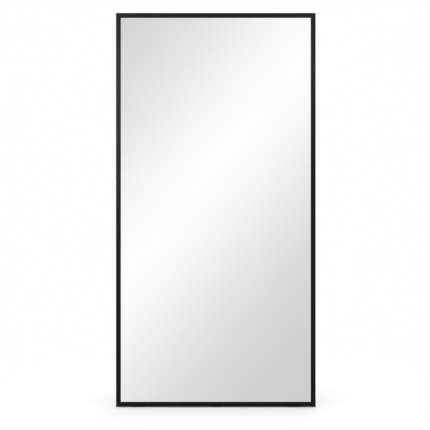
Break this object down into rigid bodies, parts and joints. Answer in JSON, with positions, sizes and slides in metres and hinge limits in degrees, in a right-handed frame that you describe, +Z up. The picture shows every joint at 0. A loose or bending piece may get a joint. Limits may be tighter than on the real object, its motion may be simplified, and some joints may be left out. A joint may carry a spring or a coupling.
{
  "type": "floor mirror",
  "caption": "Tall rectangular floor mirror with a slim black metal frame, leaning back on a wall, with hanger rings on a cross bar behind.",
  "frame": {"origin": "on the floor, at the middle of the sole of the middle foot, under the middle of the bottom rail", "axes": "+Z up, +Y towards the wall that the mirror leans on, +X to the right of someone who stands in front and looks at the mirror"},
  "size_m": [0.914, 0.1923, 1.7993],
  "materials": {
    "black_coat": "satin black powder coat on extruded aluminium",
    "bar_coat": "satin black powder coat on flat steel",
    "cast_metal": "die cast, as cast",
    "silvered_glass": "polished float glass, silvered behind",
    "film": "safety film",
    "foam": "closed-cell foam sheet",
    "board": "plain fibreboard",
    "tape": "foam glazing tape",
    "rubber": "matt moulded rubber",
    "spring_steel": "tempered spring steel strip",
    "zinc_plate": "bright zinc plate on steel"
  },
  "bodies": {
    "mirror": {"left_stile": "black_coat", "right_stile": "black_coat", "top_rail": "black_coat", "bottom_rail": "black_coat", "bottom_left_corner_key": "cast_metal", "bottom_right_corner_key": "cast_metal", "top_left_corner_key": "cast_metal", "top_right_corner_key": "cast_metal", "mirror_pane": "silvered_glass", "safety_film": "film", "foam_sheet": "foam", "backing_board": "board", "left_glazing_tape": "tape", "right_glazing_tape": "tape", "top_glazing_tape": "tape", "bottom_glazing_tape": "tape", "setting_blocks": "rubber", "left_edge_spacers": "rubber", "right_edge_spacers": "rubber", "top_edge_spacers": "rubber", "left_spring_clips": "spring_steel", "right_spring_clips": "spring_steel", "top_spring_clips": "spring_steel", "bottom_spring_clips": "spring_steel", "cross_bar": "bar_coat", "cross_bar_screws": "zinc_plate", "hanger_screws": "zinc_plate", "left_hanger_strap": "zinc_plate", "right_hanger_strap": "zinc_plate", "top_left_wall_bumper": "rubber", "top_right_wall_bumper": "rubber", "bottom_left_wall_bumper": "rubber", "bottom_right_wall_bumper": "rubber", "left_floor_foot": "rubber", "middle_floor_foot": "rubber", "right_floor_foot": "rubber"},
    "left_ring": {"left_hanger_ring": "zinc_plate"},
    "right_ring": {"right_hanger_ring": "zinc_plate"}
  },
  "joints": [
    {"name": "left_ring_swing", "type": "hinge", "parent": "mirror", "child": "left_ring", "pos_m": [-0.3, 0.13946, 1.38638], "axis": [1, 0, 0], "range_deg": [-5, 185]},
    {"name": "right_ring_swing", "type": "hinge", "parent": "mirror", "child": "right_ring", "pos_m": [0.3, 0.13946, 1.38638], "axis": [1, 0, 0], "range_deg": [-5, 185]}
  ]
}
